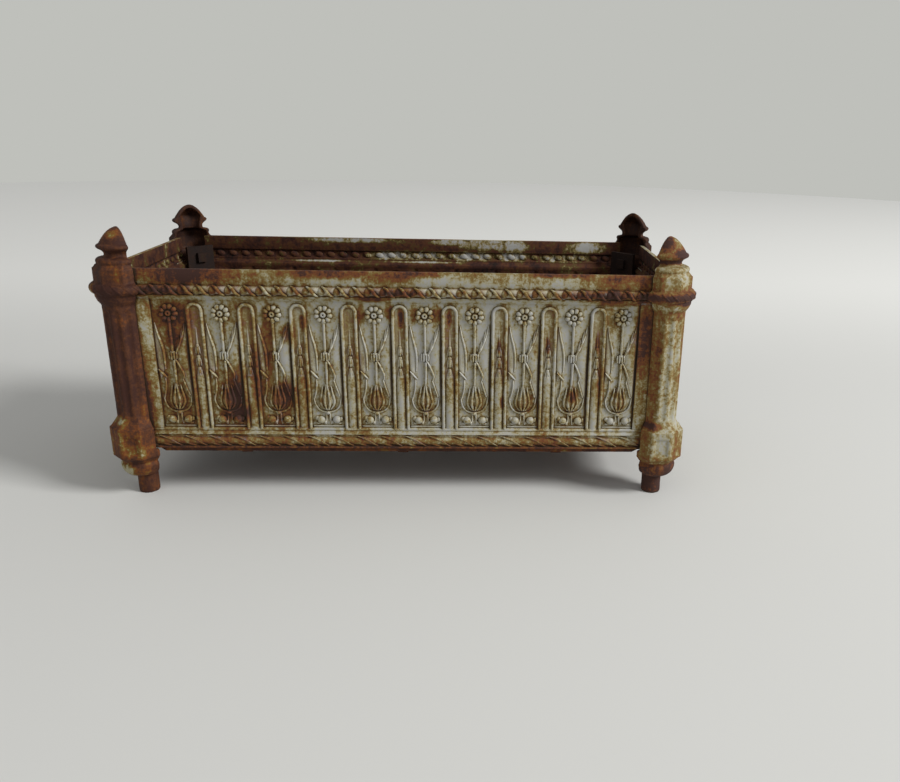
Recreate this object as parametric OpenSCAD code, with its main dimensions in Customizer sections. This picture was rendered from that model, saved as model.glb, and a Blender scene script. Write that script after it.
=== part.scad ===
// Rectangular cast-iron planter: four ornamented panels held between four hollow corner posts.
// Origin on the floor under the middle, X along the length, the front faces -Y.

/* [Overall] */
// Distance between the post axes along the length
post_span_x = 500; // [420:2:760]
// Distance between the post axes from front to back
post_span_y = 194; // [160:2:320]
// Wall thickness of the castings
wall = 4; // [3:0.25:5]

/* [Post heights, from the floor up] */
// Height of the round peg foot
peg_h = 19.5; // [8:0.5:30]
// Height of the turned bun above the peg
bun_h = 16.5; // [12:0.5:20]
// Height of the bevel under the base block
base_under_h = 5.5; // [4:0.5:14]
// Height of the base block
base_block_h = 29; // [24:0.5:40]
// Height of the bevel above the base block
base_top_h = 8; // [6:0.5:18]
// Length of the fluted shaft
shaft_h = 109.5; // [80:0.5:180]
// Height of the bell under the rope ring
cap_under_h = 9.2; // [7:0.1:12]
// Height of the rope ring
cap_rope_h = 9.6; // [8:0.1:12]
// Height of the eight-sided capital
cap_block_h = 15.7; // [12:0.1:24]
// Height of the round cushion on the capital
cap_ring_h = 6; // [5:0.5:10]
// Height of the finial's neck
neck_h = 4; // [2:0.5:8]
// Height of the finial's skirt
skirt_h = 9.5; // [8:0.5:12]
// Height of the finial's pointed dome
dome_h = 13; // [11:0.5:30]

/* [Post widths] */
// Radius of the peg foot
peg_r = 9.5; // [6:0.5:12]
// How far the peg stands from the shaft's axis towards the inside
peg_shift = 2.5; // [0:0.5:4]
// How far the peg runs up into the bun
peg_rise = 6; // [2:0.5:10]
// How far the capital and the finial stand from the shaft's axis towards the inside
head_shift = 3.6; // [2:0.1:3.8]
// Radius of the bun
bun_r = 19.8; // [16:0.2:22]
// Half width of the eight-sided base block across its flats
base_flat = 23.5; // [21.5:0.5:28]
// Radius of the shaft
shaft_r = 17.3; // [16:0.1:20]
// Depth of the flutes of the shaft
flute_depth = 1.3; // [0.4:0.1:1.4]
// Half width of the eight-sided capital across its flats
cap_flat = 22.6; // [21.5:0.1:26]
// Radius of the rope ring at its crest
cap_rope_r = 28.6; // [27:0.2:32]
// Radius of the cushion on the capital
cap_ring_r = 20.8; // [18:0.2:22]
// Radius of the neck
neck_r = 13.2; // [10:0.2:15]
// Radius of the skirt
skirt_r = 19.2; // [17:0.2:22]
// Radius of the dome where it meets the skirt
dome_r = 15.8; // [12:0.2:16.4]
// Distance of the open side's plane from the shaft's axis
open_side = 4; // [3:0.25:5]
// How much further the foot of the base reaches than the open side
foot_reach = 3; // [1:0.5:5]
// Width of the sunk square on the base block
recess_w = 13; // [8:0.5:16]
// Depth of the sunk square
recess_depth = 1.4; // [0.6:0.1:2]

/* [Panels] */
// How far the panel's top edge lies below the top of the capital
rim_drop = 2.5; // [0:0.5:6]
// How far the panel's foot lies above the foot of the base block
panel_lift = 7.5; // [6:0.5:16]
// How far the fascia stands outside the line of the post axes
face_out = 10; // [9:0.25:11]
// How far the field lies behind the fascia
field_sink = 4; // [3:0.25:5]
// Height of the plain fascia
fascia_h = 14; // [10:0.5:20]
// Radius of the rope moulding
rope_r = 4.5; // [3.5:0.25:5.5]
// Length of one strand of the rope moulding
rope_pitch = 13.8; // [9:0.2:20]
// Height of the hollow moulding under the rope
cavetto_h = 6; // [4:0.5:9]
// Height of the ledge below the field
ledge_h = 5.5; // [4:0.5:8]
// Height of the leaf band at the foot
band_h = 14; // [10:0.5:18]
// Length of one leaf of the leaf band
band_pitch = 22.7; // [16:0.2:30]
// Distance from one flower to the next
bay_pitch = 46.2; // [40:0.2:60]
// Outer width of an arch
arch_w = 15.2; // [14:0.1:20]
// Width of the arch's raised rim
arch_rim = 3.2; // [2:0.1:4]
// Depth of the hollows in the panel's back
hollow_d = 1.5; // [0.8:0.1:1.8]
// Height of the relief above the field
relief_h = 2.2; // [1.2:0.1:3]
// Least width of the plain strip, from the post axis to the field
strip_min = 24; // [22:0.5:30]
// How far the panel's end stays clear of the post axis
end_clear = 13; // [12:0.5:14]
// Width of the inward flange that carries the floor plate
flange_w = 12; // [10:0.5:16]

/* [Corner straps and fasteners] */
// Distance from the post axis to the strap's seat
strap_seat = 15.5; // [15:0.25:18]
// Width of the strap
strap_w = 30; // [26:1:34]
// Thickness of the strap
strap_t = 4; // [3:0.5:5]
// Width of the rib that the strap bears on
rib_w = 4; // [3:0.5:5]
// Shank diameter of the bolts
bolt_d = 6; // [5:0.5:7]
// Width of the square bolt heads and nuts
head_w = 10; // [9:0.5:11]
// Thickness of the square bolt heads
head_t = 4; // [3:0.5:5]
// Thickness of the square nuts
nut_t = 5; // [4:0.5:6]
// Bolt end left over past the nut
bolt_tail = 3; // [1:0.5:4]
// Clearance of a bolt in its hole, on the diameter
hole_play = 1; // [0.6:0.1:1.6]
// Height of the lug inside the post
lug_h = 16; // [12:1:24]
// How far the upper bolt lies below the panel's top edge
bolt_drop = 21; // [16:0.5:30]
// How far the strap's top lies below the panel's top edge
strap_drop = 9; // [4:0.5:16]

/* [Floor plate] */
// Thickness of the floor plate
plate_t = 4; // [3:0.5:6]
// How far the plate's edge lies behind the fascia
plate_back = 2; // [1:0.5:4]
// How much further in the plate's cut corners lie than the foot of the posts
plate_corner = 5.5; // [3:0.5:8]
// Diameter of the drain holes
drain_d = 14; // [8:1:20]
// Distance from one drain hole to the next
drain_pitch = 90; // [60:5:120]
// Distance from one floor bolt to the next along the front and back
floor_bolt_pitch = 150; // [100:5:180]

/* [Hidden] */
$fn = 48;
far = 400;
bite = 0.6;
edge_step = 0.8;

// Levels of the post
z_bun = peg_h;
z_under = z_bun + bun_h;
z_block = z_under + base_under_h;
z_top = z_block + base_block_h;
z_shaft = z_top + base_top_h;
z_flare = z_shaft + shaft_h;
z_rope = z_flare + cap_under_h;
z_cap = z_rope + cap_rope_h;
z_ring = z_cap + cap_block_h;
z_neck = z_ring + cap_ring_h;
z_skirt = z_neck + neck_h;
z_dome = z_skirt + skirt_h;

// Levels of the panel
z_rim = z_ring - rim_drop;
z_foot = z_block + panel_lift;
z_bead = z_rim - fascia_h - rope_r;
z_hollow = z_bead - rope_r;
z_field = z_hollow - cavetto_h;
z_ledge = z_foot + band_h;
z_sill = z_ledge + ledge_h;
field_h = z_field - z_sill;

// Depths of the panel, counted outwards from the line of the post axes
field_out = face_out - field_sink;
back_out = field_out - wall;
strip_out = field_out + field_sink / 2;
bead_out = face_out - 1;
band_out = face_out + 1.5;

// Clear space between two arches, and what lies in it
bay_w = bay_pitch - arch_w;

// Fasteners
strap_z = z_foot + wall + 4;
strap_h = z_rim - strap_drop - strap_z;
lug_t = open_side + 1;
bolt_levels = [strap_z + lug_h, z_rim - bolt_drop];
plate_z = z_foot - plate_t;
flange_mid = flange_w / 2 - back_out;
drain_count = 2 * floor((post_span_x / 2 - 2 * drain_d) / drain_pitch) + 1;

rust = [0.36, 0.24, 0.18];
paint = [0.62, 0.62, 0.56];
iron = [0.30, 0.24, 0.21];

// The side of the corner where the post stands, up to a plane at the given distance from its axis
module post_side(d) {
    rotate([0, 0, 45]) translate([d - far, -far / 2, -bite]) cube([far, far, far]);
}

// The other side of that plane, towards the inside of the planter
module plant_side(d, z = -bite) {
    rotate([0, 0, 45]) translate([d, -far / 2, z]) cube([far, far, far]);
}

// Turns a corner piece, drawn for the front left corner about its post axis, to the given corner
module at_corner(sx, sy) {
    translate([sx * post_span_x / 2, sy * post_span_y / 2, 0])
        rotate([0, 0, sx < 0 ? (sy < 0 ? 0 : -90) : (sy < 0 ? 90 : 180)]) children();
}

module octagon(flat, h) {
    rotate([0, 0, 22.5]) cylinder(r = flat / cos(22.5), h = h, $fn = 8);
}

module octagon_bevel(flat1, flat2, h) {
    rotate([0, 0, 22.5]) cylinder(r1 = flat1 / cos(22.5), r2 = flat2 / cos(22.5), h = h, $fn = 8);
}

// Points of the finial's pointed dome: the radius falls with the root of the height left, to a small flat
function dome_points(r, h, z) = concat([for (t = [0, 0.25, 0.5, 0.7, 0.85, 0.95]) [r * sqrt(1 - t), z + h * t]],
    [[r * 0.1, z + h], [0, z + h]]);

// Quarter-round stretch of a profile, from angle a to angle b about a centre
function arc(c, r, a, b, steps = 5) = [for (i = [0:steps]) c + r * [cos(a + (b - a) * i / steps),
    sin(a + (b - a) * i / steps)]];

module turned_bun() {
    rise = bun_h * 0.7;
    rotate_extrude() polygon(concat([[0, z_bun]],
        arc([bun_r - rise, z_bun + rise], rise, -90, 0),
        [[bun_r, z_bun + rise + 1], [bun_r - 2.5, z_under + bite], [0, z_under + bite]]));
}

module finial() {
    rotate_extrude() polygon(concat([[0, z_ring - bite], [cap_ring_r - 2, z_ring - bite], [cap_ring_r - 2, z_ring]],
        arc([cap_ring_r - cap_ring_h / 2, z_ring + cap_ring_h / 2], cap_ring_h / 2, -60, 60),
        [[neck_r, z_neck + 1], [neck_r, z_skirt], [neck_r + 1.5, z_skirt + 2]],
        arc([skirt_r - 1.9, z_skirt + skirt_h * 0.6], 1.9, -70, 70),
        [[dome_r + 0.4, z_dome - 1.4]], dome_points(dome_r, dome_h, z_dome)));
}

module rope_ring() {
    bead = cap_rope_h / 2;
    difference() {
        rotate_extrude() polygon(concat([[0, z_rope - bite], [cap_rope_r - bead, z_rope - bite]],
            arc([cap_rope_r - bead, z_rope + bead], bead, -90, 90, 6),
            [[cap_rope_r - bead, z_cap + bite], [0, z_cap + bite]]));
        for (a = [-216:18:-54]) rotate([0, 0, a]) translate([cap_rope_r, 0, z_rope + bead])
            rotate([-38, 0, 0]) cube([2.4, 1.2, 3 * bead], center = true);
    }
}

// Moves what stands on the shaft to its own axis, nearer to the open side
module on_head() {
    translate(head_shift * [cos(45), sin(45), 0]) children();
}

module capital() {
    slope = 2.5;
    rope_ring();
    translate([0, 0, z_cap - bite]) octagon(cap_flat, cap_block_h - slope + bite);
    translate([0, 0, z_ring - slope - bite]) octagon_bevel(cap_flat - edge_step, cap_ring_r - 0.5, slope + bite);
    finial();
}

module post_outside() {
    turned_bun();
    translate([0, 0, z_under]) octagon_bevel(bun_r - 1.5, base_flat - edge_step, base_under_h);
    translate([0, 0, z_block - bite]) octagon(base_flat, base_block_h + bite);
    translate([0, 0, z_top - bite]) octagon_bevel(base_flat - edge_step, shaft_r - 0.5, base_top_h + bite);
    translate([0, 0, z_top]) cylinder(r = shaft_r, h = z_rope - z_top);
    rotate_extrude() polygon([[0, z_flare - 1], [shaft_r, z_flare - 1], [shaft_r + 1, z_flare],
        [shaft_r + 3, z_flare + cap_under_h * 0.3], [shaft_r + 3.8, z_flare + cap_under_h * 0.6],
        [shaft_r + 4.4, z_flare + cap_under_h * 0.65], [shaft_r + 4.4, z_rope + 1], [0, z_rope + 1]]);
    on_head() capital();
}

// The post is cast hollow, with two flat lugs across its open side for the strap's bolts
module post_hollow() {
    difference() {
        union() {
            rotate_extrude() polygon([[0, z_block - 1], [bun_r - wall, z_block - 1],
                [base_flat - wall, z_block + 2], [base_flat - wall, z_top - 1],
                [shaft_r - wall, z_top + base_top_h / 2], [shaft_r - wall, z_rope + 1], [0, z_rope + 1]]);
            on_head() rotate_extrude() polygon(concat([[0, z_rope - 2], [shaft_r - wall, z_rope - 2],
                [cap_flat - wall, z_cap], [cap_flat - wall, z_ring - wall],
                [cap_ring_r - wall, z_ring + cap_ring_h / 2], [neck_r - wall, z_neck], [neck_r - wall, z_skirt]],
                dome_points(dome_r - wall, dome_h - wall, z_dome)));
        }
        for (z = bolt_levels) rotate([0, 0, 45]) translate([open_side - lug_t, -far / 2, z - lug_h / 2])
            cube([far, far, lug_h]);
    }
}

module flutes() {
    r = 6;
    for (a = [-210:30:-60]) rotate([0, 0, a]) translate([shaft_r + r - flute_depth, 0, z_shaft + 5]) {
        cylinder(r = r, h = shaft_h - 13.5);
        sphere(r = r);
        translate([0, 0, shaft_h - 13.5]) sphere(r = r);
    }
}

module sunk_squares() {
    h = base_block_h - 11;
    for (a = [-90, 180]) rotate([0, 0, a]) translate([base_flat - recess_depth, -recess_w / 2, z_block + 4])
        cube([wall, recess_w, h]);
}

module bolt_hole(from, to, z) {
    rotate([0, 0, 45]) translate([from, 0, z]) rotate([0, 90, 0]) cylinder(d = bolt_d + hole_play, h = to - from);
}

module post() {
    difference() {
        post_outside();
        post_hollow();
        flutes();
        sunk_squares();
        plant_side(open_side, z_foot - 1);
        plant_side(open_side + foot_reach);
        for (z = bolt_levels) bolt_hole(-nut_t, strap_seat, z);
    }
    rotate([0, 0, 45]) translate([peg_shift, 0, 0]) cylinder(r = peg_r, h = z_bun + peg_rise);
}

// Section of a panel: outwards to the left, upwards as it stands
module panel_section() {
    polygon(concat([[-face_out, z_rim], [-face_out, z_bead]],
        [[-face_out + 1, z_hollow]],
        arc([-face_out + 1 - cavetto_h * 0.2, z_field], cavetto_h * 0.8, 60, 20, 2),
        [[-field_out, z_field - 1], [-field_out, z_sill], [-strip_out, z_sill - 1], [-strip_out, z_ledge + 1],
        [-face_out, z_ledge], [-band_out, z_ledge - band_h * 0.3], [-band_out, z_foot + band_h * 0.35],
        [-face_out, z_foot], [-back_out + flange_w, z_foot], [-back_out + flange_w, z_foot + wall],
        [-back_out - 1, z_foot + wall], [-back_out - wall, z_foot + wall + 4], [-back_out - wall, z_ledge - 2],
        [-back_out, z_sill], [-back_out, z_field], [wall - face_out, z_field + wall], [wall - face_out, z_rim]]));
}

module along_x(len) {
    rotate([90, 0, 90]) linear_extrude(len, center = true) children();
}

// Slanting grooves that lay a round moulding into strands
module strand_grooves(len, pitch, width, depth, tall, crest, z) {
    count = round(len / pitch);
    for (i = [0:count - 1]) translate([(i + 0.5 - count / 2) * len / count, depth - crest, z])
        rotate([0, -40, 0]) translate([-width / 2, -far / 100 - depth, -tall])
        cube([width, far / 100 + depth, 2 * tall]);
}

// A leaf outline between two points: the common part of two round discs
module leaf(a, b, w) {
    d = b - a;
    len = norm(d);
    r = (len * len / 4 + w * w / 4) / w;
    translate((a + b) / 2) rotate(atan2(d[1], d[0])) intersection() {
        translate([0, r - w / 2]) circle(r = r, $fn = 64);
        translate([0, w / 2 - r]) circle(r = r, $fn = 64);
    }
}

// A place in a bay: across in halves of its width, up in parts of the field's height
function spot(u, v) = [u * bay_w / 2, z_sill + v * field_h];

module flower() {
    for (a = [0:45:315]) translate(spot(0, 0.905)) rotate(a) translate([bay_w * 0.19, 0])
        circle(r = bay_w * 0.095, $fn = 16);
    translate(spot(0, 0.905)) circle(r = bay_w * 0.17, $fn = 24);
}

module bay_outline() {
    flower();
    translate([-0.7, spot(0, 0.3)[1]]) square([1.4, field_h * 0.55]);
    for (s = [-1, 1]) {
        leaf(spot(s * 0.05, 0.58), spot(s * 0.82, 0.85), 3.4);
        leaf(spot(s * 0.08, 0.62), spot(s * 0.62, 0.42), 3.2);
        leaf(spot(s * 0.62, 0.46), spot(s * 0.5, 0.24), 2.8);
        leaf(spot(s * 0.9, 0.32), spot(s * 0.2, 0.13), 3);
        translate(spot(s * 0.42, 0.06)) circle(r = bay_w * 0.1, $fn = 24);
    }
    translate(spot(0, 0.595)) square([5, 4], center = true);
    translate(spot(0, 0.1)) circle(r = 2, $fn = 24);
}

module arch_rim_outline() {
    r = arch_w / 2;
    difference() {
        union() {
            translate([0, z_field - 1 - r]) circle(r = r);
            translate([-r, z_sill - bite]) square([arch_w, field_h - 1 - r + bite]);
        }
        translate([0, z_field - 1 - r]) circle(r = r - arch_rim);
        translate([arch_rim - r, z_sill - 1]) square([arch_w - 2 * arch_rim, field_h - r]);
    }
}

module raised(h) {
    translate([0, bite - field_out, 0]) rotate([90, 0, 0]) linear_extrude(h + bite) children();
}

// Bud, with its length upright, and the reed and husk that stand in an arch
module bud() {
    raised(relief_h + 0.8) leaf(spot(0, 0.13), spot(0, 0.42), 8.5);
}

module reed() {
    r = arch_w / 2 - arch_rim - 1;
    translate([0, r * 0.3 - field_out, z_sill - bite]) cylinder(r = r, h = field_h * 0.44, $fn = 32);
    translate([0, r * 0.3 - field_out, z_sill - bite + field_h * 0.44]) sphere(r = r, $fn = 32);
    raised(relief_h * 0.7) {
        leaf([0, spot(0, 0.5)[1]], [0, spot(0, 0.7)[1]], 6.5);
        leaf([0, spot(0, 0.66)[1]], [0, spot(0, 0.94)[1]], 2.6);
    }
}

// Hollows cast into the back, behind the flowers, the reeds and the rope
module back_hollows(bays, len) {
    for (i = [0:bays - 1]) translate([(i + 0.5 - bays / 2) * bay_pitch, -back_out, spot(0, 0.905)[1]])
        rotate([90, 0, 0]) translate([0, 0, -1]) cylinder(d = bay_w * 0.5, h = 1 + hollow_d);
    for (i = [1:bays - 1]) translate([(i - bays / 2) * bay_pitch, hollow_d * 1.2 - back_out, z_sill + 4])
        cylinder(r = hollow_d * 2.4, h = field_h * 0.8);
    translate([0, wall - face_out + 1, z_bead]) rotate([0, 90, 0]) cylinder(r = rope_r - 0.5, h = len, center = true);
}

module ornament(bays) {
    for (i = [0:bays - 1]) translate([(i + 0.5 - bays / 2) * bay_pitch, 0, 0]) {
        raised(relief_h) bay_outline();
        bud();
    }
    for (i = [1:bays - 1]) translate([(i - bays / 2) * bay_pitch, 0, 0]) {
        raised(relief_h) arch_rim_outline();
        reed();
    }
}

module panel(span, bolts) {
    len = span - 2 * end_clear;
    bays = floor((span - 2 * strip_min + arch_w) / bay_pitch);
    field_w = bays * bay_pitch - arch_w;
    rib_z = z_foot + wall + 1;
    difference() {
        union() {
            difference() {
                union() {
                    along_x(len) panel_section();
                    translate([0, -bead_out, z_bead]) rotate([0, 90, 0])
                        cylinder(r = rope_r, h = len, center = true);
                }
                strand_grooves(len, rope_pitch, 1.2, 1.4, rope_r * 1.5, bead_out + rope_r, z_bead);
                strand_grooves(len, band_pitch, 1.8, 1.2, band_h * 0.5, band_out, z_foot + band_h * 0.5);
            }
            ornament(bays);
            for (s = [-1, 1]) translate([s * (len + field_w) / 4 - (len - field_w) / 4, -strip_out, z_sill - 1])
                cube([(len - field_w) / 2, strip_out - back_out, field_h + 1.5]);
            for (s = [0, 1]) mirror([s, 0, 0]) difference() {
                translate([end_clear + rib_w - span / 2, -back_out - bite, rib_z])
                    cube([rib_w, far / 10, strap_z + strap_h - rib_z]);
                translate([-span / 2, 0, 0]) plant_side(strap_seat);
            }
        }
        for (s = [0, 1]) mirror([s, 0, 0]) {
            translate([-span / 2, 0, 0]) post_side(open_side);
            translate([-span / 2 - bite, -back_out, z_foot - bite])
                cube([end_clear + 2 * rib_w + bite, flange_w + 1, wall + 2 * bite]);
        }
        back_hollows(bays, field_w);
        for (x = bolts) translate([x, flange_mid, z_foot - bite])
            cylinder(d = bolt_d + hole_play, h = wall + 2 * bite);
    }
}

// Places of the floor bolts along a long side
side_bolts = [for (i = [-1:1]) i * floor_bolt_pitch];

module front_panel() {
    color(paint) translate([0, -post_span_y / 2, 0]) panel(post_span_x, side_bolts);
}

module back_panel() {
    color(paint) rotate([0, 0, 180]) translate([0, -post_span_y / 2, 0]) panel(post_span_x, side_bolts);
}

module left_end_panel() {
    color(paint) translate([-post_span_x / 2, 0, 0]) rotate([0, 0, -90]) panel(post_span_y, [0]);
}

module right_end_panel() {
    color(paint) translate([post_span_x / 2, 0, 0]) rotate([0, 0, 90]) panel(post_span_y, [0]);
}

module front_left_post() {
    color(rust) at_corner(-1, -1) post();
}

module front_right_post() {
    color(paint) at_corner(1, -1) post();
}

module back_left_post() {
    color(rust) at_corner(-1, 1) post();
}

module back_right_post() {
    color(rust) at_corner(1, 1) post();
}

module strap() {
    color(iron) difference() {
        rotate([0, 0, 45]) translate([strap_seat, -strap_w / 2, strap_z]) cube([strap_t, strap_w, strap_h]);
        for (z = bolt_levels) bolt_hole(strap_seat - 1, strap_seat + strap_t + 1, z);
    }
}

module front_left_strap() {
    at_corner(-1, -1) strap();
}

module front_right_strap() {
    at_corner(1, -1) strap();
}

module back_left_strap() {
    at_corner(-1, 1) strap();
}

module back_right_strap() {
    at_corner(1, 1) strap();
}

// A bolt along +X whose head seats at x = 0 and whose shank runs the other way
module bolt(grip) {
    translate([0, -head_w / 2, -head_w / 2]) cube([head_t, head_w, head_w]);
    rotate([0, -90, 0]) cylinder(d = bolt_d, h = grip + nut_t + bolt_tail);
}

// A square nut whose face seats at x = 0, filling round the bolt's shank
module nut() {
    difference() {
        translate([-nut_t, -head_w / 2, -head_w / 2]) cube([nut_t, head_w, head_w]);
        translate([1, 0, 0]) rotate([0, -90, 0]) cylinder(d = bolt_d + 0.2, h = nut_t + 2);
    }
}

module on_strap_bolts() {
    for (sx = [-1, 1], sy = [-1, 1], z = bolt_levels) at_corner(sx, sy) rotate([0, 0, 45])
        translate([strap_seat + strap_t, 0, z]) children();
}

module strap_bolts() {
    color(iron) on_strap_bolts() bolt(strap_seat + strap_t - open_side + lug_t);
}

module strap_nuts() {
    color(iron) on_strap_bolts() translate([open_side - lug_t - strap_seat - strap_t, 0, 0]) nut();
}

module plate_blank() {
    size_x = post_span_x + 2 * (face_out - plate_back);
    size_y = post_span_y + 2 * (face_out - plate_back);
    difference() {
        translate([-size_x / 2, -size_y / 2, plate_z]) cube([size_x, size_y, plate_t]);
        for (sx = [-1, 1], sy = [-1, 1]) at_corner(sx, sy) post_side(open_side + foot_reach + plate_corner);
    }
}

// Puts a piece drawn along +X at each floor bolt, pointing down, its origin under the plate
module on_floor_bolts() {
    for (s = [0, 1], x = side_bolts) mirror([0, s, 0])
        translate([x, flange_mid - post_span_y / 2, plate_z]) rotate([0, 90, 0]) children();
    for (s = [0, 1]) mirror([s, 0, 0])
        translate([flange_mid - post_span_x / 2, 0, plate_z]) rotate([0, 90, 0]) children();
}

module floor_plate() {
    color(rust) difference() {
        plate_blank();
        for (i = [0:drain_count - 1]) translate([(i - (drain_count - 1) / 2) * drain_pitch, 0, plate_z - 1])
            cylinder(d = drain_d, h = plate_t + 2);
        on_floor_bolts() translate([1, 0, 0]) rotate([0, -90, 0]) cylinder(d = bolt_d + hole_play, h = plate_t + 2);
    }
}

module floor_bolts() {
    color(iron) on_floor_bolts() bolt(plate_t + wall);
}

module floor_nuts() {
    color(iron) on_floor_bolts() translate([-plate_t - wall, 0, 0]) nut();
}

front_panel();
back_panel();
left_end_panel();
right_end_panel();
front_left_post();
front_right_post();
back_left_post();
back_right_post();
front_left_strap();
front_right_strap();
back_left_strap();
back_right_strap();
strap_bolts();
strap_nuts();
floor_plate();
floor_bolts();
floor_nuts();
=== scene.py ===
"""Looks for the cast-iron planter: carved relief on its panels, cast posts, and worn paint over rust.

Lengths are written in millimetres, as in the part's source, and made metres where a mesh is built.
Relief is modelled for a panel lying along X that faces -Y, then turned to each side of the planter.
"""

from math import cos, pi, radians, sin

import bpy
from mathutils import Matrix, Vector


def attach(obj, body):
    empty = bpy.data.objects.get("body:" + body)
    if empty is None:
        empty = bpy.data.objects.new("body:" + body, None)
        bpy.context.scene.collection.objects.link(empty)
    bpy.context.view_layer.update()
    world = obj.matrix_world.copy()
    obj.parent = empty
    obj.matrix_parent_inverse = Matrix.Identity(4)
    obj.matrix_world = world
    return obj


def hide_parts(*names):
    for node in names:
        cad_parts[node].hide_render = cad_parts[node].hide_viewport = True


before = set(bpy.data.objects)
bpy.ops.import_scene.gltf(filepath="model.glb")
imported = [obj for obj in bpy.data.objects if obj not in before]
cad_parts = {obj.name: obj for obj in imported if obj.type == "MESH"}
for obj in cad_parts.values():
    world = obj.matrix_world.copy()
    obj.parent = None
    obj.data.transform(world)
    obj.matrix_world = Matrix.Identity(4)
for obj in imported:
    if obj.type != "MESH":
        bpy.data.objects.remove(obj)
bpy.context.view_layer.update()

MM = 0.001

# Sizes from the part's source, in millimetres. "Out" is how far something stands outside the post axes' line.
POST_X, POST_Y = 250, 97                        # a post's axis, from the middle of the planter
END_CLEAR, OPEN_SIDE = 13, 4                    # from a post's axis to the panel's end, and to the post's open side
FIELD, STRIP = 6, 8                             # how far out the field and the plain strips beside it stand
RIM_Z, BEAD_Z, FIELD_Z = 220, 201.5, 191        # heights of the rim, the rope's middle and the top of the field
SILL_Z, FOOT_Z = 68.5, 49                       # heights of the bottom of the field and of the panel's foot
BAY, ARCH_W, ARCH_RIM = 46.2, 15.2, 3.2         # from bay to bay, and the widths of an arch and of its rim
FLOWER_Z, ARCH_CROWN_Z = 179.4, 189.4           # heights of a flower's middle and of an arch's top
ROPE_LEAD = 27.6                                # length of two pearls of the rope moulding
RING_R, RING_Z, HEAD_SHIFT = 23.8, 202, 3.6     # the post's rope ring, and how far inwards the post's head stands
RING_TURN = 54                                  # degrees round the post in which a strand winds once

# The photograph's width, the lens axis and the focal length in its pixels, and the sensor in millimetres
PHOTO_WIDTH, LENS_AXIS, FOCAL_LENGTH = 900, 521.5, 809.3
SENSOR = 36


# ---- Camera and lamps ----

def photo_camera():
    """The photograph's camera: a wide picture cropped on its right, so the lens axis lies right of the middle."""
    bpy.ops.object.camera_add()
    camera = bpy.context.object
    yaw, pitch, roll = radians(-3.302), radians(18.565), radians(1.467)
    level = Vector((-sin(yaw), cos(yaw), 0))
    side = Vector((cos(yaw), sin(yaw), 0))
    look = cos(pitch) * level - sin(pitch) * Vector((0, 0, 1))
    over = sin(pitch) * level + cos(pitch) * Vector((0, 0, 1))
    right = cos(roll) * side + sin(roll) * over
    up = cos(roll) * over - sin(roll) * side
    turn = Matrix((right, up, -look)).transposed().to_4x4()
    camera.matrix_world = Matrix.Translation((0.0721, -0.8358, 0.35335)) @ turn
    camera.data.sensor_width = SENSOR
    camera.data.lens = FOCAL_LENGTH / PHOTO_WIDTH * SENSOR
    camera.data.shift_x = (PHOTO_WIDTH / 2 - LENS_AXIS) / PHOTO_WIDTH
    bpy.context.scene.camera = camera


def soft_light(name, place, size, power):
    """A square lamp that faces the planter."""
    bpy.ops.object.light_add(type="AREA", location=place)
    lamp = bpy.context.object
    lamp.name, lamp.data.size, lamp.data.energy = name, size, power
    lamp.rotation_euler = (Vector((0, 0, 0.1)) - Vector(place)).to_track_quat("-Z", "Y").to_euler()


# ---- Shader maths ----

def srgb(*levels):
    """A colour given in a screen's levels, 0 to 255, as the linear colour a shader takes."""
    return tuple(((c / 255 + 0.055) / 1.055) ** 2.4 if c > 10 else c / 255 / 12.92 for c in levels) + (1,)


class Wire:
    """A value in a material. Arithmetic on it adds Math nodes, and node() adds a node of any other kind."""

    def __init__(self, tree, socket=None):
        self.tree, self.socket = tree, socket

    def node(self, kind, settings=None, output=0, **values):
        """An output of a new node. Its inputs are given by name, or as i and their number."""
        made = self.tree.nodes.new("ShaderNode" + kind)
        for key, value in (settings or {}).items():
            setattr(made, key, value)
        for key, value in values.items():
            slot = made.inputs[int(key[1:]) if key[1:].isdigit() else key.replace("_", " ")]
            if isinstance(value, Wire):
                self.tree.links.new(value.socket, slot)
            else:
                slot.default_value = value
        return Wire(self.tree, made.outputs[output])

    def math(self, operation, *values):
        return self.node("Math", {"operation": operation}, **{f"i{n}": v for n, v in enumerate(values)})

    def __add__(self, other): return self.math("ADD", self, other)
    def __sub__(self, other): return self.math("SUBTRACT", self, other)
    def __mul__(self, other): return self.math("MULTIPLY", self, other)
    def __rsub__(self, other): return self.math("SUBTRACT", other, self)
    __radd__ = __add__

    def fade(self, low, high):
        """0 at low, 1 at high, eased between; low may be the larger."""
        if low > high:
            return 1 - self.fade(high, low)
        return self.node("MapRange", {"interpolation_type": "SMOOTHSTEP"}, Value=self, From_Min=low, From_Max=high)

    def axis(self, number):
        """The x, y or z of this place, as 0, 1 or 2."""
        return self.node("SeparateXYZ", output=number, Vector=self)

    def mix(self, share, under, colour):
        return self.node("Mix", {"data_type": "RGBA"}, output=2, i0=share, i6=under, i7=colour)

    def over(self, under, colour):
        """A colour laid over another where this mask is 1."""
        return self.mix(self, under, colour)

    def ramp(self, stops):
        """The colour that this value picks between stops of (value, colour)."""
        picked = self.node("ValToRGB", Fac=self)
        ramp = picked.socket.node.color_ramp.elements
        while len(ramp) < len(stops):
            ramp.new(0.5)
        for stop, (place, colour) in zip(ramp, stops):
            stop.position, stop.color = place, colour
        return picked

    def noise(self, place, scale, detail, roughness, stretch=(1, 1, 1), shift=0):
        moved = self.node("Mapping", Vector=place, Scale=stretch, Location=(shift, shift * 0.7, -shift))
        return self.node("TexNoise", Vector=moved, Scale=scale, Detail=detail, Roughness=roughness)


# The skin's roughness to touch, its depth in millimetres, and how much paint and rust reflect
GRAIN_STRENGTH, GRAIN_DEPTH = 0.8, 0.5
PAINT_SHEEN, RUST_SHEEN = 0.4, 0.2


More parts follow.
